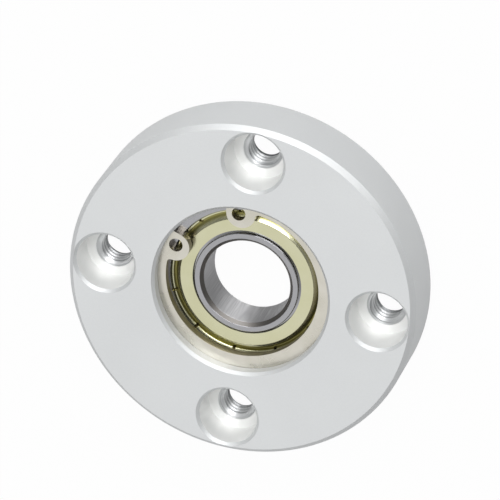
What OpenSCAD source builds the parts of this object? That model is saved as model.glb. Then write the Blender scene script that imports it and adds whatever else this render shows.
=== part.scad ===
// Round bearing housing for direct mounting, with a shielded ball bearing held by a retaining ring.
// The origin is on the bearing axis, in the plane of the mounting face, and +Z leaves the front face.

/* [Housing disc] */
// Diameter of the disc
disc_d = 48; // [47.5:0.5:60]
// Thickness of the disc from its mounting face to its front face
disc_t = 9; // [8.5:0.5:14]
// Chamfer round the front face
front_chamfer = 0.65; // [0.2:0.05:1]
// Chamfer round the mounting face
back_chamfer = 0.6; // [0.2:0.05:1]

/* [Pilot on the mounting face] */
// Diameter of the centring pilot
pilot_d = 30; // [27:0.5:32]
// Height of the pilot behind the mounting face
pilot_l = 2; // [1.5:0.25:4]
// Chamfer of the pilot's end, outside and inside
pilot_chamfer = 0.4; // [0.1:0.05:0.6]

/* [Screw holes] */
// Number of screw holes
screw_count = 4; // [3:1:6]
// Distance from the disc's edge to the axis of each screw hole
screw_inset = 5; // [4.75:0.25:5.5]
// Diameter of each counterbore
counterbore_d = 8.1; // [7:0.1:8.6]
// Depth of each counterbore below the front face
counterbore_depth = 4.9; // [3:0.1:6]
// Chamfer of each counterbore's rim
counterbore_chamfer = 0.4; // [0.1:0.05:0.5]
// Nominal diameter of the tapped hole below the counterbore
thread_d = 5; // [4:0.5:6]
// Countersink at each end of the tapped hole
thread_countersink = 0.3; // [0.1:0.05:0.5]

/* [Bearing seat] */
// Depth of the bearing's face below the front face
recess_depth = 2.9; // [2:0.1:4]
// Chamfer at the mouth of the seat
seat_chamfer = 0.4; // [0.1:0.05:0.8]
// Radial width of the rear shoulder that the bearing sits on
shoulder_w = 1.25; // [0.75:0.05:2]
// Radial clearance between the seat and the bearing
seat_clearance = 0.01; // [0.005:0.005:0.05]
// Depth of the retaining ring's groove into the seat wall
groove_depth = 0.6; // [0.4:0.05:0.9]
// Axial play of the retaining ring in its groove, on each side
groove_play = 0.05; // [0.02:0.01:0.15]

/* [Retaining ring] */
// Thickness of the retaining ring
ring_t = 1.2; // [0.8:0.1:1.6]
// Radial gap between the ring's edge and the groove's floor
ring_gap = 0.05; // [0.02:0.01:0.2]
// Radial width of the ring a quarter turn from its gap
ring_w = 1.95; // [1.4:0.05:2.2]
// Shift of the inner edge towards the gap, which makes the ring widest opposite its gap
ring_shift = 0.45; // [0:0.05:0.6]
// Direction in which the ring's gap points
ring_turn = -51.5; // [-180:0.5:180]
// Angle from the middle of the gap to the middle of each lug
lug_angle = 31; // [27:0.5:60]
// Distance of each lug's round end from the ring's outer edge, at the end's centre
lug_inset = 1.95; // [1.8:0.05:2.4]
// Radius of the round end of each lug
lug_r = 2; // [1.6:0.05:2.1]
// Distance of each plier hole from the middle of its lug, towards the gap
lug_hole_shift = 0.3; // [0:0.05:0.4]
// Diameter of each plier hole
lug_hole_d = 1.9; // [1.2:0.1:2]
// Fillet where each lug meets the ring
lug_fillet = 0.5; // [0.2:0.05:0.8]

/* [Bearing envelope] */
// Bore of the bearing
bearing_bore = 12; // [11.5:0.1:12.2]
// Outer diameter of the bearing
bearing_od = 24; // [23.9:0.1:24.6]
// Width of the bearing
bearing_w = 6; // [5.5:0.1:7]
// Chamfer of the inner ring's bore edges
bore_chamfer = 0.5; // [0.2:0.05:0.8]
// Chamfer of the outer ring's outside edges
rim_chamfer = 0.3; // [0.1:0.05:0.5]
// Small edge break of the ground ring faces
edge_break = 0.1; // [0.05:0.05:0.15]
// Radial width of the inner ring's end face, as a share of the bearing's section height
inner_face_share = 0.21; // [0.18:0.005:0.22]
// Radial width of the outer ring's end face, as a share of the bearing's section height
outer_face_share = 0.225; // [0.2:0.005:0.24]

/* [Races and balls] */
// Number of balls
ball_count = 10; // [6:1:10]
// Diameter of each ball, as a share of the mean of the bearing's section height and width
ball_share = 0.53; // [0.48:0.005:0.54]
// Radial running clearance between a ball and each race
ball_clearance = 0.02; // [0.01:0.005:0.05]
// Radius of the race groove as a share of the ball's diameter
groove_share = 0.52; // [0.515:0.005:0.54]
// Height of the race shoulders above the floor of the groove, as a share of the ball's diameter
shoulder_share = 0.125; // [0.1:0.005:0.15]
// Axial gap between the shield and the step of the inner ring below it
step_gap = 0.26; // [0.15:0.01:0.4]

/* [Cage] */
// Thickness of the cage's sheet
cage_sheet = 0.25; // [0.15:0.05:0.3]
// Radial width of the cage's ribbon, as a share of the ball's diameter
cage_share = 0.44; // [0.38:0.01:0.5]
// Clearance between a ball and its pocket
pocket_clearance = 0.08; // [0.05:0.01:0.12]
// Diameter of the cage rivets' shanks
rivet_d = 0.7; // [0.5:0.05:0.8]
// Diameter of the cage rivets' heads
rivet_head_d = 1.15; // [1:0.05:1.3]
// Height of the cage rivets' heads
rivet_head_h = 0.3; // [0.2:0.05:0.4]
// Radial clearance between a rivet and its hole
rivet_clearance = 0.01; // [0.005:0.005:0.03]

/* [Shields] */
// Thickness of the shield's sheet
shield_sheet = 0.25; // [0.15:0.05:0.3]
// Depth of the shield's flat below the bearing's face
shield_drop = 0.29; // [0.2:0.01:0.35]
// Depth of the shield's seat below the bearing's face, as a share of the bearing's width
shield_seat_share = 0.19; // [0.15:0.005:0.2]
// Radial gap between the shield and the inner ring's face
shield_gap = 0.31; // [0.2:0.01:0.4]
// Radial clearance between the shield's rolled edge and the outer ring
shield_clearance = 0.01; // [0.005:0.005:0.02]
// Radius of the shield's rolled edge, as a share of the bearing's section height
bead_share = 0.035; // [0.025:0.001:0.04]
// Width of the channel inside the rolled edge, as a share of the bearing's section height
channel_share = 0.04; // [0.03:0.005:0.06]
// Run of the cone between the channel and the flat, as a share of the bearing's section height
cone_share = 0.12; // [0.1:0.005:0.13]
// Number of crimp notches in the rolled edge
notch_count = 11; // [6:1:16]
// Width of each crimp notch
notch_w = 0.45; // [0.2:0.05:0.8]
// Depth of each crimp notch below the top of the rolled edge
notch_depth = 0.3; // [0.1:0.05:0.35]
// Direction of the first crimp notch
notch_turn = 19.5; // [0:0.5:32]

/* [Hidden] */
$fn = 96;
ball_fn = 48;
// Overrun of every cut past the face that it leaves
over = 0.5;

disc_r = disc_d / 2;
screw_circle_r = disc_r - screw_inset;
pilot_r = pilot_d / 2;
shoulder_r = bearing_od / 2 - shoulder_w;
seat_r = bearing_od / 2 + seat_clearance;
groove_r = seat_r + groove_depth;

// Heights along the axis
bearing_front_z = disc_t - recess_depth;
bearing_back_z = bearing_front_z - bearing_w;
bearing_mid_z = bearing_front_z - bearing_w / 2;

// Retaining ring, drawn with its gap towards +X
ring_r = groove_r - ring_gap;
ring_inner_r = ring_r - ring_w;
ring_centre = [ring_shift, 0];
lug_hole_r = lug_hole_d / 2;
lug_centre_r = ring_r - lug_inset;
lug_centre = lug_centre_r * [cos(lug_angle), sin(lug_angle)];
lug_hole_centre = lug_centre + lug_hole_shift * [sin(lug_angle), -cos(lug_angle)];
gap_reach = ring_r + ring_w;

// Bearing rings
section_h = (bearing_od - bearing_bore) / 2;
section_mean = sqrt(section_h * bearing_w);
pitch_r = (bearing_bore + bearing_od) / 4;
ball_d = ball_share * section_mean;
ball_r = ball_d / 2;
race_r = ball_d * groove_share;
inner_race_r = pitch_r - ball_r - ball_clearance;
outer_race_r = pitch_r + ball_r + ball_clearance;
inner_land_r = inner_race_r + shoulder_share * ball_d;
outer_land_r = outer_race_r - shoulder_share * ball_d;
inner_face_r = bearing_bore / 2 + inner_face_share * section_h;
outer_face_r = bearing_od / 2 - outer_face_share * section_h;
inner_step_depth = shield_drop + shield_sheet + step_gap;

// Cage
cage_inner_r = pitch_r - cage_share * ball_d / 2;
cage_outer_r = pitch_r + cage_share * ball_d / 2;
pocket_r = ball_r + pocket_clearance;
cup_r = pocket_r + cage_sheet;
ball_step = 360 / ball_count;

// Shield, from its inner edge to its rolled edge
shield_seat_depth = shield_seat_share * bearing_w;
shield_inner_r = inner_face_r + shield_gap;
shield_outer_r = outer_face_r - shield_clearance;
bead_r = bead_share * section_h;
bead_centre_r = shield_outer_r - bead_r;
channel_outer_r = bead_centre_r - bead_r;
channel_inner_r = channel_outer_r - channel_share * section_h;
flat_outer_r = channel_inner_r - cone_share * section_h;
channel_floor = shield_seat_depth - shield_sheet;
bead_rise_share = 0.7;
bead_z = bead_rise_share * bead_r - channel_floor;

// The meeting point of two circles that lies to the left of the way from p to q
function circles_meet(p, p_r, q, q_r) =
    let (
        way = q - p,
        span = norm(way),
        along = (p_r * p_r - q_r * q_r + span * span) / (2 * span),
        aside = sqrt(p_r * p_r - along * along),
        unit = way / span
    )
    p + along * unit + aside * [-unit[1], unit[0]];

// Turned section of the housing: disc, pilot, shoulder, seat and groove
module housing_section() {
    polygon([
        [shoulder_r, pilot_chamfer - pilot_l],
        [shoulder_r + pilot_chamfer, -pilot_l],
        [pilot_r - pilot_chamfer, -pilot_l],
        [pilot_r, pilot_chamfer - pilot_l],
        [pilot_r, 0],
        [disc_r - back_chamfer, 0],
        [disc_r, back_chamfer],
        [disc_r, disc_t - front_chamfer],
        [disc_r - front_chamfer, disc_t],
        [seat_r + seat_chamfer, disc_t],
        [seat_r, disc_t - seat_chamfer],
        [seat_r, bearing_front_z + ring_t + groove_play],
        [groove_r, bearing_front_z + ring_t + groove_play],
        [groove_r, bearing_front_z - groove_play],
        [seat_r, bearing_front_z - groove_play],
        [seat_r, bearing_back_z],
        [shoulder_r, bearing_back_z]
    ]);
}

// Cutter for one screw hole: counterbore, tapped hole and their chamfers
module screw_hole() {
    bore_r = counterbore_d / 2;
    thread_r = thread_d / 2;
    floor_z = disc_t - counterbore_depth;
    rotate_extrude()
        polygon([
            [0, -over],
            [thread_r + thread_countersink, -over],
            [thread_r + thread_countersink, 0],
            [thread_r, thread_countersink],
            [thread_r, floor_z - thread_countersink],
            [thread_r + thread_countersink, floor_z],
            [bore_r, floor_z],
            [bore_r, disc_t - counterbore_chamfer],
            [bore_r + counterbore_chamfer, disc_t],
            [bore_r + counterbore_chamfer, disc_t + over],
            [0, disc_t + over]
        ]);
}

module housing() {
    color("gainsboro")
        difference() {
            rotate_extrude()
                housing_section();
            for (i = [0 : screw_count - 1])
                rotate([0, 0, i * 360 / screw_count])
                    translate([screw_circle_r, 0, 0])
                        screw_hole();
        }
}

// A point beside a lug's centre line, on the gap's side, at a distance out along that line
function gap_edge(out, side) = [
    out * cos(lug_angle) + lug_r * sin(lug_angle),
    side * (out * sin(lug_angle) - lug_r * cos(lug_angle))
];

// Flat spring ring with a gap and an eccentric inner edge
module ring_band() {
    difference() {
        circle(r = ring_r);
        translate(ring_centre)
            circle(r = ring_inner_r);
        polygon([
            gap_edge(lug_centre_r, 1),
            gap_edge(gap_reach, 1),
            gap_edge(gap_reach, -1),
            gap_edge(lug_centre_r, -1)
        ]);
    }
}

// One lug with its fillet, on the side above the gap
module lug() {
    root_r = lug_centre_r + lug_inset / 2;
    fillet_centre = circles_meet(ring_centre, ring_inner_r - lug_fillet, lug_centre, lug_r + lug_fillet);
    on_lug = lug_centre + (fillet_centre - lug_centre) * lug_r / (lug_r + lug_fillet);
    on_band = ring_centre + (fillet_centre - ring_centre) * ring_inner_r / (ring_inner_r - lug_fillet);
    in_band = on_band * root_r / norm(on_band);
    translate(lug_centre)
        circle(r = lug_r);
    rotate(lug_angle)
        translate([lug_centre_r, -lug_r])
            square([root_r - lug_centre_r, 2 * lug_r]);
    difference() {
        polygon([lug_centre, in_band, on_band, on_lug]);
        translate(fillet_centre)
            circle(r = lug_fillet);
    }
}

module retaining_ring() {
    color("lightgray")
        translate([0, 0, bearing_front_z])
            rotate([0, 0, ring_turn])
                linear_extrude(height = ring_t)
                    difference() {
                        union() {
                            ring_band();
                            lug();
                            mirror([0, 1])
                                lug();
                        }
                        for (side = [-1, 1])
                            translate([lug_hole_centre[0], side * lug_hole_centre[1]])
                                circle(r = lug_hole_r);
                    }
}

// Turned section of the outer ring, with its middle plane at height 0
module outer_ring_section() {
    half = bearing_w / 2;
    edge = bearing_od / 2;
    step = half - shield_seat_depth;
    difference() {
        polygon([
            [outer_face_r + edge_break, -half],
            [edge - rim_chamfer, -half],
            [edge, rim_chamfer - half],
            [edge, half - rim_chamfer],
            [edge - rim_chamfer, half],
            [outer_face_r + edge_break, half],
            [outer_face_r, half - edge_break],
            [outer_face_r, step],
            [outer_land_r, step],
            [outer_land_r, -step],
            [outer_face_r, -step],
            [outer_face_r, edge_break - half]
        ]);
        translate([outer_race_r - race_r, 0])
            circle(r = race_r);
    }
}

module outer_ring() {
    color("darkgray")
        translate([0, 0, bearing_mid_z])
            rotate_extrude()
                outer_ring_section();
}

// Turned section of the inner ring, with its middle plane at height 0
module inner_ring_section() {
    half = bearing_w / 2;
    bore_r = bearing_bore / 2;
    step = half - inner_step_depth;
    difference() {
        polygon([
            [bore_r, bore_chamfer - half],
            [bore_r + bore_chamfer, -half],
            [inner_face_r - edge_break, -half],
            [inner_face_r, edge_break - half],
            [inner_face_r, -step],
            [inner_land_r, -step],
            [inner_land_r, step],
            [inner_face_r, step],
            [inner_face_r, half - edge_break],
            [inner_face_r - edge_break, half],
            [bore_r + bore_chamfer, half],
            [bore_r, half - bore_chamfer]
        ]);
        translate([inner_race_r + race_r, 0])
            circle(r = race_r);
    }
}

module inner_ring() {
    color("silver")
        translate([0, 0, bearing_mid_z])
            rotate_extrude()
                inner_ring_section();
}

// Pressed section of a shield, with the bearing's face at height 0
module shield_section() {
    polygon([
        [shield_inner_r, -shield_drop - shield_sheet],
        [flat_outer_r, -shield_drop - shield_sheet],
        [channel_inner_r, -shield_seat_depth],
        [shield_outer_r, -shield_seat_depth],
        [shield_outer_r, -channel_floor],
        [channel_inner_r, -channel_floor],
        [flat_outer_r, -shield_drop],
        [shield_inner_r, -shield_drop]
    ]);
    translate([bead_centre_r, bead_z])
        circle(r = bead_r);
}

// Dished shield with a rolled edge that is crimped at its notches
module shield() {
    difference() {
        rotate_extrude()
            shield_section();
        for (i = [0 : notch_count - 1])
            rotate([0, 0, notch_turn + i * 360 / notch_count])
                translate([channel_outer_r - bead_r, -notch_w / 2, bead_z + bead_r - notch_depth])
                    cube([section_h, notch_w, notch_depth + over]);
    }
}

module front_shield() {
    color("darkkhaki")
        translate([0, 0, bearing_front_z])
            shield();
}

module rear_shield() {
    color("darkkhaki")
        translate([0, 0, bearing_back_z])
            mirror([0, 0, 1])
                shield();
}

// Pressed half of the ribbon cage above its parting plane
module cage_half() {
    difference() {
        intersection() {
            difference() {
                cylinder(r = cage_outer_r, h = cup_r + over);
                translate([0, 0, -over])
                    cylinder(r = cage_inner_r, h = cup_r + 3 * over);
            }
            union() {
                cylinder(r = cage_outer_r + over, h = cage_sheet);
                for (i = [1 : ball_count])
                    rotate([0, 0, i * ball_step])
                        translate([pitch_r, 0, 0])
                            sphere(r = cup_r, $fn = ball_fn);
            }
        }
        for (i = [1 : ball_count])
            rotate([0, 0, i * ball_step])
                translate([pitch_r, 0, 0])
                    sphere(r = pocket_r, $fn = ball_fn);
        for (i = [1 : ball_count])
            rotate([0, 0, (i + 1 / 2) * ball_step])
                translate([pitch_r, 0, -over])
                    cylinder(d = rivet_d + 2 * rivet_clearance, h = cage_sheet + 2 * over);
    }
}

module cage_front() {
    color("burlywood")
        translate([0, 0, bearing_mid_z])
            cage_half();
}

module cage_rear() {
    color("burlywood")
        translate([0, 0, bearing_mid_z])
            mirror([0, 0, 1])
                cage_half();
}

// Rivet between two balls, with a head against each half of the cage
module cage_rivet(i) {
    shank_r = rivet_d / 2;
    head_r = rivet_head_d / 2;
    top = cage_sheet + rivet_head_h;
    bevel = rivet_head_h / 2;
    color("peru")
        translate([0, 0, bearing_mid_z])
            rotate([0, 0, (i + 1 / 2) * ball_step])
                translate([pitch_r, 0, 0])
                    rotate_extrude()
                        polygon([
                            [0, -top],
                            [head_r - bevel, -top],
                            [head_r, bevel - top],
                            [head_r, -cage_sheet],
                            [shank_r, -cage_sheet],
                            [shank_r, cage_sheet],
                            [head_r, cage_sheet],
                            [head_r, top - bevel],
                            [head_r - bevel, top],
                            [0, top]
                        ]);
}

module ball(i) {
    color("whitesmoke")
        translate([0, 0, bearing_mid_z])
            rotate([0, 0, i * ball_step])
                translate([pitch_r, 0, 0])
                    sphere(d = ball_d, $fn = ball_fn);
}

housing();
retaining_ring();
outer_ring();
inner_ring();
front_shield();
rear_shield();
cage_front();
cage_rear();
for (i = [1 : ball_count])
    cage_rivet(i);
for (i = [1 : ball_count])
    ball(i);
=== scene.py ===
# %% [markdown]
# # A bearing housing, dressed for its picture
# The shapes of this part come from its CAD source, in one frame that never moves: metres, with +Z up,
# the bearing's axis on the Z axis and the mounting face in the plane z = 0.
# What is left for Blender is what CAD has no use for: the screw threads, and how each metal looks.
# Each step below says what a piece or finish is on the real object, and why it is made this way.

# %% Load the fixed frame
import math
import bpy
from mathutils import Matrix, Vector


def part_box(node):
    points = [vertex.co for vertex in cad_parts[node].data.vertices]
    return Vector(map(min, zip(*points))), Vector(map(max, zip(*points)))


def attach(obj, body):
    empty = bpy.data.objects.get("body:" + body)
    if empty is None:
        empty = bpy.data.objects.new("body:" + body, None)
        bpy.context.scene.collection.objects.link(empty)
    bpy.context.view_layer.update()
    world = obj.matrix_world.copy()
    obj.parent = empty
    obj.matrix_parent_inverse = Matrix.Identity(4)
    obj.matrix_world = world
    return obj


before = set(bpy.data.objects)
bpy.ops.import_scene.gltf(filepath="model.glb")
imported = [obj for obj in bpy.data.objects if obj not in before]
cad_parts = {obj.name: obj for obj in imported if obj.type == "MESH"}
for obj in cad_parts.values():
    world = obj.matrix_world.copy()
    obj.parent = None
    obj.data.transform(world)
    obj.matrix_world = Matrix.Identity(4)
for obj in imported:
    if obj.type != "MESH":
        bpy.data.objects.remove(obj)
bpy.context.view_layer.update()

housing_low, housing_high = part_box("housing")
print("nodes loaded:", len(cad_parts), "- housing from", tuple(housing_low), "to", tuple(housing_high))

# %% [markdown]
# ## Start with nothing selected
# An operator acts on everything that is selected, and the CAD pieces come in selected.
# So there is a helper that deselects everything, and it runs before each new primitive.

# %% Helpers for the selection
MM = 0.001


def select_nothing():
    bpy.ops.object.select_all(action="DESELECT")


def pick(piece):
    select_nothing()
    piece.select_set(True)
    bpy.context.view_layer.objects.active = piece


select_nothing()
print("selected now:", len(bpy.context.selected_objects))

# %% [markdown]
# ## One turn of thread, wound up into a helix
# The four holes are counterbored from the front, and tapped below that with a 5 mm thread of 0.8 mm pitch.
# A tap cuts a V groove, and what it leaves between the turns is a ridge that stands 0.43 mm into the hole.
# A helix could be swept along a curve, but the Screw modifier is made for it: it takes the ridge's cross
# section and lifts it by one pitch in each turn. The section's root is sunk a little into the wall of the
# hole, so that no gap shows. Before tapping, the hole is countersunk at both ends, so the ridge is pushed
# back to a cone there, and past the cone it goes into the wall, where it isn't seen.

# %% Wind one thread ridge
THREAD_R = 2.5 * MM
THREAD_PITCH = 0.8 * MM
THREAD_LOW, THREAD_HIGH = 0.32 * MM, 3.9 * MM
RIDGE_H = 0.43 * MM
ROOT_HALF, CREST_HALF = 0.47 * THREAD_PITCH, 0.08 * THREAD_PITCH
ROOT_IN_WALL, PUSHED_IN_WALL = 0.03 * MM, 0.02 * MM
TURNS, STEPS_IN_TURN = 6, 72
BACK_CONE = {"mouth": 0, "mouth_r": 2.9 * MM, "end": 1.05 * MM, "end_r": 1.9 * MM}
FRONT_CONE = {"mouth": 4.0 * MM, "mouth_r": 2.58 * MM, "end": 3.6 * MM, "end_r": 2.05 * MM}


def wind_thread(name):
    select_nothing()
    bpy.ops.mesh.primitive_plane_add(size=1, location=(0, 0, 0))
    ridge = bpy.context.active_object
    ridge.name = name
    root_r, crest_r = THREAD_R + ROOT_IN_WALL, THREAD_R - RIDGE_H
    # the plane's corners come in two rows: root and crest of the lower edge, then of the upper one
    section = [(root_r, -ROOT_HALF), (crest_r, -CREST_HALF), (root_r, ROOT_HALF), (crest_r, CREST_HALF)]
    for corner, (r, z) in zip(ridge.data.vertices, section):
        corner.co = (r, 0, z + THREAD_LOW - THREAD_PITCH)
    ridge.data.update()
    bpy.ops.object.mode_set(mode="EDIT")
    bpy.ops.mesh.select_all(action="SELECT")
    bpy.ops.mesh.delete(type="ONLY_FACE")
    bpy.ops.object.mode_set(mode="OBJECT")
    helix = ridge.modifiers.new("one pitch each turn", "SCREW")
    helix.axis = "Z"
    helix.screw_offset = THREAD_PITCH
    helix.iterations = TURNS
    helix.steps = helix.render_steps = STEPS_IN_TURN
    helix.use_merge_vertices = False
    bpy.ops.object.modifier_apply(modifier=helix.name)
    # both ends of the tube are closed, so the ridge is a solid
    bpy.ops.object.mode_set(mode="EDIT")
    bpy.ops.mesh.select_all(action="SELECT")
    bpy.ops.mesh.fill_holes(sides=4)
    bpy.ops.mesh.normals_make_consistent(inside=False)
    bpy.ops.object.mode_set(mode="OBJECT")
    return ridge


def countersink(ridge, mouth, mouth_r, end, end_r):
    """Pushes the ridge back to a cone at one end, as a countersinking tool does, and into the wall past it."""
    for vertex in ridge.data.vertices:
        share = (vertex.co.z - mouth) / (end - mouth)
        r = math.hypot(vertex.co.x, vertex.co.y)
        cone_r = min(mouth_r + (end_r - mouth_r) * share, THREAD_R + PUSHED_IN_WALL)
        if share <= 1 and r < cone_r:
            vertex.co.x *= cone_r / r
            vertex.co.y *= cone_r / r


first_thread = wind_thread("thread_plus_x")
countersink(first_thread, **BACK_CONE)
countersink(first_thread, **FRONT_CONE)
for vertex in first_thread.data.vertices:
    vertex.co.z = min(max(vertex.co.z, THREAD_LOW), THREAD_HIGH)
pick(first_thread)
bpy.ops.object.shade_smooth_by_angle(angle=math.radians(25))
print("one thread:", len(first_thread.data.polygons), "faces, box", tuple(first_thread.dimensions))

# %% [markdown]
# ## Four threads from one
# What repeats is modelled once. Each copy has its own mesh, moved to its hole, with its object left at 0,
# because every piece keeps its place in its mesh. A quarter turn between the holes keeps them in step.

# %% Put a thread in each tapped hole
HOLE_CIRCLE_R = 19 * MM

threads = [first_thread]
for name in ("thread_plus_y", "thread_minus_x", "thread_minus_y"):
    copy = first_thread.copy()
    copy.data = first_thread.data.copy()
    copy.name = name
    bpy.context.scene.collection.objects.link(copy)
    threads.append(copy)
to_hole = Matrix.Translation((HOLE_CIRCLE_R, 0, 0))
for quarter, thread in enumerate(threads):
    thread.data.transform(Matrix.Rotation(quarter * math.pi / 2, 4, "Z") @ to_hole)
    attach(thread, "housing_assembly")
print("threads:", [t.name for t in threads])

# %% [markdown]
# ## What every metal here shares
# All the finishes are metals, so they differ in three things: colour, how rough they are, and the lay of
# their marks, which says how they were made. A turned or ground piece has rings round its axis. To draw
# these, a point's place is given as its radius, its height and a little of its angle, and a noise read at
# that place is stretched round the axis. The same helper serves each ring-shaped piece.

# %% Helpers that make a metal and do sums in it


def new_metal(name, colour, roughness):
    finish = bpy.data.materials.new(name)
    finish.use_nodes = True
    tree = finish.node_tree
    shader = next(n for n in tree.nodes if n.type == "BSDF_PRINCIPLED")
    shader.inputs["Metallic"].default_value = 1.0
    shader.inputs["Base Color"].default_value = (*colour, 1)
    shader.inputs["Roughness"].default_value = roughness
    return finish, tree, shader


def feed(tree, shader, socket, value):
    tree.links.new(value, shader.inputs[socket])


def maths(tree, operation, first, second=None):
    """One sum: each value is a number or a socket."""
    made = tree.nodes.new("ShaderNodeMath")
    made.operation = operation
    for socket, value in zip(made.inputs, (first, second)):
        if isinstance(value, (int, float)):
            socket.default_value = value
        elif value is not None:
            tree.links.new(value, socket)
    return made.outputs[0]


def times(tree, first, second):
    return maths(tree, "MULTIPLY", first, second)


def plus(tree, first, second):
    return maths(tree, "ADD", first, second)


def minus(tree, first, second):
    return maths(tree, "SUBTRACT", first, second)


def above(tree, value, limit):
    """A mask: 1 where the value is above the limit, else 0."""
    return maths(tree, "GREATER_THAN", value, limit)


def below(tree, value, limit):
    """A mask: 1 where the value is below the limit, else 0."""
    return maths(tree, "LESS_THAN", value, limit)


def length(tree, first, second):
    """The distance that two steps at right angles to each other make together."""
    return maths(tree, "SQRT", plus(tree, times(tree, first, first), times(tree, second, second)))


print("helpers for sums ready")

# %% Helpers that say where a point is


def object_place(tree):
    return tree.nodes.new("ShaderNodeTexCoord").outputs["Object"]


def place_parts(tree):
    """A point's x, y and z, in metres."""
    parts = tree.nodes.new("ShaderNodeSeparateXYZ")
    tree.links.new(object_place(tree), parts.inputs[0])
    return parts.outputs


def axis_distance(tree):
    """A point's distance to the Z axis, in metres."""
    x, y, z = place_parts(tree)
    return length(tree, x, y)


def axis_angle(tree):
    """A point's angle round the Z axis, in radians."""
    x, y, z = place_parts(tree)
    return maths(tree, "ARCTAN2", y, x)


def lay_place(tree, across=1.0, along=1.0):
    """A point's radius, height and angle round the Z axis: across scales the first two, along the last."""
    joined = tree.nodes.new("ShaderNodeCombineXYZ")
    # the angle's sine comes back to the same value after a full turn, so the pattern has no seam
    round_axis = times(tree, maths(tree, "SINE", axis_angle(tree)), along * 0.01)
    radius = times(tree, axis_distance(tree), across)
    height = times(tree, place_parts(tree)[2], across)
    for socket, value in zip(joined.inputs, (radius, height, round_axis)):
        tree.links.new(value, socket)
    return joined.outputs[0]


print("helpers for places ready")

# %% Helpers that draw: noise, ramps, mixed colours and bump


def noise(tree, place, scale, detail=2.0, rough=0.5):
    made = tree.nodes.new("ShaderNodeTexNoise")
    tree.links.new(place, made.inputs["Vector"])
    made.inputs["Scale"].default_value = scale
    made.inputs["Detail"].default_value = detail
    made.inputs["Roughness"].default_value = rough
    return made.outputs[0]


def spread(tree, value, low, high, from_low=0.3, from_high=0.7):
    """A ramp from low to high. Noise keeps near the middle, so its usual span is 0.3 to 0.7."""
    made = tree.nodes.new("ShaderNodeMapRange")
    tree.links.new(value, made.inputs["Value"])
    made.inputs["From Min"].default_value = from_low
    made.inputs["From Max"].default_value = from_high
    made.inputs["To Min"].default_value = low
    made.inputs["To Max"].default_value = high
    return made.outputs[0]


def mix(tree, share, first, second):
    """Goes from the first colour to the second where share goes from 0 to 1: each is a colour or a socket."""
    made = tree.nodes.new("ShaderNodeMix")
    made.data_type = "RGBA"
    tree.links.new(share, made.inputs["Factor"])
    for socket, value in ((made.inputs[6], first), (made.inputs[7], second)):
        if isinstance(value, tuple):
            socket.default_value = (*value, 1)
        else:
            tree.links.new(value, socket)
    return made.outputs[2]


def press_in(tree, shader, height, depth, strength=1.0):
    made = tree.nodes.new("ShaderNodeBump")
    made.inputs["Strength"].default_value = strength
    made.inputs["Distance"].default_value = depth
    tree.links.new(height, made.inputs["Height"])
    feed(tree, shader, "Normal", made.outputs[0])


print("helpers for drawing ready")

# %% [markdown]
# ## Bead-blasted, clear-anodised aluminium
# The disc is turned, blasted with fine beads and anodised without dye. Blasting leaves a fine even grain
# of dimples, a tenth of a millimetre across, that spreads the light, so the face looks nearly white and
# even. Two noises make it: a fine one for the dimples, pressed in as bump and roughness, and a slow, very
# weak one for the uneven grey that any anodised batch shows. The counterbores and the threads are cut and
# not blasted, so they are a little smoother, and the counterbores are painted brighter: painted light for
# the light that bounces round in them. Between the thread's crests the metal is darker, partly from coating
# held in the grooves and partly as painted shade, and its last turns are painted darker: painted shade at
# the hole's lower end. A point's distance to the nearest hole says where it lies.

# %% The housing's finish
COUNTERBORE_R, COUNTERBORE_TOP = 4.1 * MM, 8.58 * MM
TAPPED_R, TAPPED_TOP = 2.9 * MM, 4.05 * MM
CREST_R, ROOT_R = THREAD_R - 0.34 * MM, THREAD_R - 0.1 * MM
# painted light and shade: the counterbores' bright tone is painted light; the darkest tone is coating and
# painted shade in the threads
HOLE_GLOW_TONE, THREAD_TONE, COAT_AND_SHADE_TONE = (0.93, 0.935, 0.925), (0.68, 0.69, 0.7), (0.17, 0.18, 0.19)

anodised, tree, shader = new_metal("anodised_aluminium", (0.73, 0.745, 0.75), 0.5)
grain = noise(tree, object_place(tree), 6500, 2.0, 0.6)
cloud = noise(tree, object_place(tree), 90, 2.0)
mottled = plus(tree, times(tree, grain, 0.6), times(tree, cloud, 0.4))
tint = mix(tree, spread(tree, mottled, 0, 1), (0.70, 0.714, 0.72), (0.75, 0.766, 0.772))
x, y, z = place_parts(tree)


def reach(along, aside):
    """Distance to the axis of the screw holes that lie on one of the two lines through the middle."""
    return length(tree, minus(tree, maths(tree, "ABSOLUTE", along), HOLE_CIRCLE_R), aside)


nearest = maths(tree, "MINIMUM", reach(x, y), reach(y, x))
in_hole = times(tree, below(tree, nearest, COUNTERBORE_R), below(tree, z, COUNTERBORE_TOP))
in_thread = times(tree, below(tree, nearest, TAPPED_R), below(tree, z, TAPPED_TOP))
smoother = plus(tree, times(tree, in_hole, 0.06), times(tree, in_thread, 0.08))
feed(tree, shader, "Roughness", minus(tree, spread(tree, grain, 0.45, 0.56), smoother))
coated = spread(tree, in_hole, 0.5, 0.44, 0, 1)
feed(tree, shader, "Metallic", plus(tree, coated, times(tree, in_thread, 0.2)))

# darker between the crests, partly coating in the grooves and partly painted shade; it fades out over the
# first turn below the counterbore
under_top = times(tree, in_thread, spread(tree, z, 1, 0, 3.2 * MM, 3.7 * MM))
groove = times(tree, spread(tree, nearest, 0, 1, CREST_R, ROOT_R), under_top)
# painted shade: the last turns, towards the hole's lower end, are darkened as shade
last_turns = times(tree, in_thread, spread(tree, z, 0.9, 0, 0.8 * MM, 1.7 * MM))
coat_and_shade = maths(tree, "MAXIMUM", groove, last_turns)
# painted light: the counterbores' brighter tone stands for light bouncing round in them
machined_with_glow = mix(tree, in_thread, mix(tree, in_hole, tint, HOLE_GLOW_TONE), THREAD_TONE)
feed(tree, shader, "Base Color", mix(tree, coat_and_shade, machined_with_glow, COAT_AND_SHADE_TONE))
press_in(tree, shader, grain, 0.012 * MM, 0.5)
print("anodised:", len(tree.nodes), "nodes")
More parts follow.
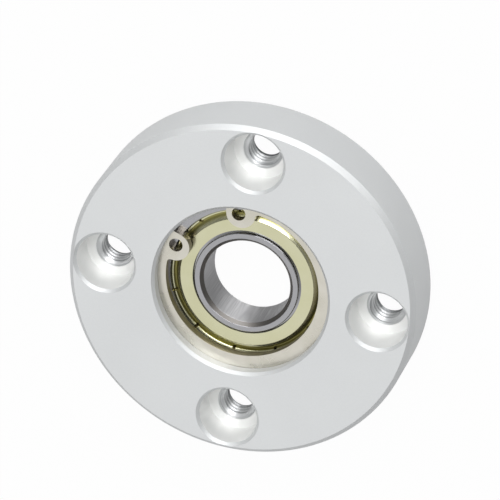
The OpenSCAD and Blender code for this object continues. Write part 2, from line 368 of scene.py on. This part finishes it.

# %% [markdown]
# ## Ground bearing steel
# The two rings are hardened and ground. Grinding leaves fine lines round the axis, so the lay helper
# gives a noise that is long round the ring and short across it. The chamfer of the inner ring's bore is
# turned before hardening and left as it is, so it is duller, and it is painted dark: painted shade for its
# rounded edge. The bore itself is honed: its marks run round it and smear a lamp's reflection into a streak
# along the shaft. Anisotropy makes that streak, with the tangent laid round the axis, and a noise that is
# long down the bore breaks it into strokes.

# %% The rings' finish
BORE_R = 6.02 * MM
CHAMFER_FROM_R, CHAMFER_TO_R = 6.03 * MM, 6.47 * MM

race_steel, tree, shader = new_metal("race_steel", (0.42, 0.42, 0.435), 0.24)
lines = noise(tree, lay_place(tree, 1.0, 0.15), 26000, 2.0, 0.5)
strokes = noise(tree, lay_place(tree, 0.02, 1.0), 9000, 2.0, 0.5)
from_axis = axis_distance(tree)
bored = below(tree, from_axis, BORE_R)
turned_and_shaded = times(tree, above(tree, from_axis, CHAMFER_FROM_R), below(tree, from_axis, CHAMFER_TO_R))
ground = mix(tree, spread(tree, lines, 0, 1), (0.385, 0.385, 0.40), (0.445, 0.445, 0.46))
honed = mix(tree, spread(tree, strokes, 0, 1), (0.46, 0.46, 0.47), (0.66, 0.66, 0.67))
# painted shade: the bore's chamfer is darkened as shade for its rounded edge
feed(tree, shader, "Base Color", mix(tree, turned_and_shaded, mix(tree, bored, ground, honed), (0.2, 0.19, 0.18)))
duller = plus(tree, times(tree, turned_and_shaded, 0.2), times(tree, bored, 0.22))
feed(tree, shader, "Roughness", plus(tree, spread(tree, lines, 0.16, 0.24), duller))
press_in(tree, shader, lines, 0.0006 * MM, 0.3)
tangent = tree.nodes.new("ShaderNodeTangent")
tangent.direction_type, tangent.axis = "RADIAL", "Z"
feed(tree, shader, "Tangent", tangent.outputs[0])
feed(tree, shader, "Anisotropic", times(tree, bored, 0.98))
shader.inputs["Anisotropic Rotation"].default_value = 0.25
print("race steel:", len(tree.nodes), "nodes")

# %% [markdown]
# ## Nickel-plated spring steel
# The retaining ring is stamped from spring steel and plated. It is bright and slightly warm, with soft
# unevenness from plating in a barrel, where the rings rub on each other, and fine pits. Its edges, and the
# walls of the two holes for the pliers, are sheared by the die and rougher, so all that lies below its top
# face gets a duller metal. It is also painted darker there: painted shade for the shadow in the holes and
# on the edges.

# %% The retaining ring's finish
plated, tree, shader = new_metal("ring_steel", (0.64, 0.63, 0.56), 0.28)
rubbed = noise(tree, object_place(tree), 420, 2.0, 0.5)
pitted = noise(tree, object_place(tree), 16000, 2.0, 0.5)
bright = mix(tree, spread(tree, rubbed, 0, 1), (0.645, 0.62, 0.54), (0.73, 0.705, 0.63))
sheared_and_shaded = below(tree, place_parts(tree)[2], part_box("retaining_ring")[1].z - 0.02 * MM)
# painted shade: all below the top face, hole walls and edges, is darkened as shade
feed(tree, shader, "Base Color", mix(tree, sheared_and_shaded, bright, (0.36, 0.33, 0.28)))
feed(tree, shader, "Roughness", plus(tree, spread(tree, rubbed, 0.24, 0.34), times(tree, sheared_and_shaded, 0.14)))
press_in(tree, shader, pitted, 0.003 * MM, 0.4)
print("plated:", len(tree.nodes), "nodes")

# %% [markdown]
# ## Yellow zinc on the shields
# The shields are pressed from thin sheet with a yellow passivated zinc coat. Its tint drifts between olive
# and straw from place to place, and the sheet keeps faint drawing lines round the axis. The channel inside
# the rolled edge is rougher and painted darker: painted shade for that recess. The sheet bows over the die
# where it goes down into that channel: a gentle slope in the bump makes the cone mirror the key lamp as a
# bright arc. The notches where the edge is crimped are painted dark: painted shade in the dents. Their
# number, place and width are those of the notches in the solid.

# %% The shields' finish
NOTCHES, FIRST_NOTCH, NOTCH_W = 11, math.radians(19.5), 0.45 * MM
BOW_SLOPE, BOW_WIDTH_MM = 0.3, 0.74
DRAWN_DEPTH_MM = 0.00025

zinc, tree, shader = new_metal("shield_steel", (0.62, 0.61, 0.38), 0.24)
drawn = noise(tree, lay_place(tree, 1.0, 0.3), 22000, 2.0, 0.5)
drift = noise(tree, object_place(tree), 220, 2.0)
straw = mix(tree, spread(tree, drift, 0, 1), (0.645, 0.635, 0.41), (0.69, 0.68, 0.47))
rim_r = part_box("front_shield")[1].x
from_axis = axis_distance(tree)
into_channel_shade = spread(tree, from_axis, 0, 1, rim_r - 1.22 * MM, rim_r - 0.85 * MM)
channel_shade = times(tree, into_channel_shade, below(tree, from_axis, rim_r - 0.38 * MM))
feed(tree, shader, "Roughness", plus(tree, spread(tree, drawn, 0.16, 0.24), times(tree, channel_shade, 0.15)))

# a cosine with as many waves as there are notches is near 1 in each notch
wave = maths(tree, "COSINE", times(tree, minus(tree, axis_angle(tree), FIRST_NOTCH), NOTCHES))
at_notch = above(tree, wave, math.cos(NOTCHES * NOTCH_W / 2 / rim_r))
# painted shade: the notches are darkened as shade in the dents
notch_shade = times(tree, at_notch, above(tree, from_axis, rim_r - 0.62 * MM))
# painted shade: the channel's dark olive stands for shade in the recess
shaded_sheet = mix(tree, channel_shade, straw, (0.29, 0.27, 0.095))
feed(tree, shader, "Base Color", mix(tree, notch_shade, shaded_sheet, (0.1, 0.085, 0.03)))

# the bump's height is in millimetres here
over_bow = spread(tree, from_axis, 0, 1, rim_r - 1.36 * MM, rim_r - 0.62 * MM)
bowed = times(tree, over_bow, BOW_SLOPE * BOW_WIDTH_MM)
press_in(tree, shader, plus(tree, bowed, times(tree, drawn, DRAWN_DEPTH_MM)), 1 * MM)
print("zinc:", len(tree.nodes), "nodes")

# %% [markdown]
# ## Pressed strip and polished balls
# The cage and its rivets are plain pressed strip, a little duller than the rings. The balls are lapped to
# a mirror, and only a trace of grease and very fine scratches keep them from being perfect.

# %% The cage's and balls' finishes
cage_steel, tree, shader = new_metal("cage_steel", (0.55, 0.53, 0.49), 0.34)
pressed = noise(tree, object_place(tree), 2600, 3.0, 0.6)
strip = mix(tree, spread(tree, pressed, 0, 1), (0.50, 0.48, 0.44), (0.60, 0.58, 0.54))
feed(tree, shader, "Base Color", strip)
feed(tree, shader, "Roughness", spread(tree, pressed, 0.28, 0.42))
press_in(tree, shader, pressed, 0.004 * MM, 0.5)

ball_steel, tree, shader = new_metal("ball_steel", (0.72, 0.72, 0.74), 0.07)
film = noise(tree, object_place(tree), 1200, 3.0, 0.6)
lapped = mix(tree, spread(tree, film, 0, 1), (0.68, 0.68, 0.70), (0.76, 0.76, 0.78))
feed(tree, shader, "Base Color", lapped)
feed(tree, shader, "Roughness", spread(tree, film, 0.05, 0.12))
print("cage and balls ready")

# %% [markdown]
# ## Each piece gets its finish
# A piece's name says what it is, so the start of the name picks the metal. The threads are cut in the
# housing's own metal, so they share its finish.

# %% Give every piece its finish
FINISHES = (("housing", anodised), ("retaining_ring", plated), ("outer_ring", race_steel),
            ("inner_ring", race_steel), ("front_shield", zinc), ("rear_shield", zinc),
            ("cage", cage_steel), ("ball", ball_steel))

for name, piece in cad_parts.items():
    finish = next(metal for start, metal in FINISHES if name.startswith(start))
    for slot in piece.material_slots:
        slot.material = finish
for thread in threads:
    thread.data.materials.clear()
    thread.data.materials.append(anodised)
print("finished nodes:", len(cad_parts))

# %% [markdown]
# ## A plain pale floor
# The photo is cut out on white. A pale floor lies under the part, and Light Path lets the camera see it as
# white without more light on the part, with a small share left for the part's soft shadow. A share of that
# white is also in what the metals mirror, less of it, because in the photo the bore mirrors a grey floor.

# %% The floor
WHITE_TO_CAMERA, WHITE_IN_MIRRORS = 0.975, 0.3

select_nothing()
bpy.ops.mesh.primitive_plane_add(size=3.0, location=(0, 0, housing_low.z - 0.02 * MM))
floor = bpy.context.active_object
floor.name = "floor"
pale = bpy.data.materials.new("pale_floor")
pale.use_nodes = True
tree = pale.node_tree
tree.nodes.clear()
out = tree.nodes.new("ShaderNodeOutputMaterial")
matte = tree.nodes.new("ShaderNodeBsdfDiffuse")
matte.inputs["Color"].default_value = (0.6, 0.6, 0.6, 1)
glow = tree.nodes.new("ShaderNodeEmission")
glow.inputs["Color"].default_value = (1, 1, 1, 1)
glow.inputs["Strength"].default_value = 1.0
path = tree.nodes.new("ShaderNodeLightPath")
mirrored = maths(tree, "MAXIMUM", path.outputs["Is Glossy Ray"], path.outputs["Is Transmission Ray"])
to_camera = times(tree, path.outputs["Is Camera Ray"], WHITE_TO_CAMERA)
blend = tree.nodes.new("ShaderNodeMixShader")
tree.links.new(maths(tree, "MAXIMUM", to_camera, times(tree, mirrored, WHITE_IN_MIRRORS)), blend.inputs[0])
tree.links.new(matte.outputs[0], blend.inputs[1])
tree.links.new(glow.outputs[0], blend.inputs[2])
tree.links.new(blend.outputs[0], out.inputs[0])
floor.data.materials.append(pale)
print("floor at z =", floor.location.z)

# %% [markdown]
# ## Soft studio light
# Plain metal shows what is round it more than the light that falls on it, so the lamps are large soft
# boxes. The overhead one stands where the front face mirrors it and makes the face even. A smaller key
# comes from the camera's own side, and draws the bright crescents on the chamfers, the arc on the shield and
# the streak in the bore. A low side lamp lights the rim, and a small one beside it draws the bright line on
# the disc's own edge. The world is a quiet grey.

# %% The lamps and the world
WORLD_GREY = 0.2


def soft_box(name, azimuth, elevation, away, wide, high, glow):
    """A lamp that looks at the part: its angles in degrees, distance and size in metres, and brightness."""
    a, e = math.radians(azimuth), math.radians(elevation)
    spot = Vector((math.cos(a) * math.cos(e), math.sin(a) * math.cos(e), math.sin(e))) * away
    select_nothing()
    bpy.ops.object.light_add(type="AREA", location=spot)
    lamp = bpy.context.active_object
    lamp.name = name
    lamp.data.shape = "RECTANGLE"
    lamp.data.size, lamp.data.size_y = wide, high
    lamp.data.energy = glow * math.pi * wide * high
    lamp.rotation_euler = (-spot).to_track_quat("-Z", "Y").to_euler()


soft_box("key", -99, 52, 0.9, 0.42, 0.64, 5.8)
soft_box("side", -76, 19, 0.9, 0.4, 0.36, 3.9)
soft_box("edge", -128, 27, 0.9, 0.3, 0.2, 3.4)
soft_box("overhead", 65, 60, 0.8, 1.3, 1.3, 0.69)
world = bpy.data.worlds.new("studio")
bpy.context.scene.world = world
world.use_nodes = True
sky = next(n for n in world.node_tree.nodes if n.type == "BACKGROUND")
sky.inputs["Color"].default_value = (1, 1, 1, 1)
sky.inputs["Strength"].default_value = WORLD_GREY

# %% [markdown]
# ## The camera
# The camera was fitted to the outline of the disc and to its holes in the photo. It stands 0.63 m away with
# a long lens, looks 60 degrees down on the front face, and is rolled, so that the part seems to stand up.

# %% The camera
CAMERA_AT = Vector((-131.857, -282.661, 545.727)) * MM
TO_RIGHT = Vector((-0.9556, -0.0912, -0.2803))
TO_TOP = Vector((0.2046, -0.8898, -0.4079))
LENS_MM, SENSOR_MM = 336.08, 36
CLIP_NEAR, CLIP_FAR = 0.05, 10

select_nothing()
bpy.ops.object.camera_add()
camera = bpy.context.active_object
camera.name = "camera"
backwards = TO_RIGHT.cross(TO_TOP).normalized()
upwards = backwards.cross(TO_RIGHT).normalized()
turn = Matrix((TO_RIGHT.normalized(), upwards, backwards)).transposed().to_4x4()
camera.matrix_world = Matrix.Translation(CAMERA_AT) @ turn
camera.data.lens = LENS_MM
camera.data.sensor_width = SENSOR_MM
camera.data.clip_start, camera.data.clip_end = CLIP_NEAR, CLIP_FAR
bpy.context.scene.camera = camera
bpy.context.scene.view_settings.view_transform = "Standard"
print("camera looks along", tuple(round(v, 4) for v in -backwards))
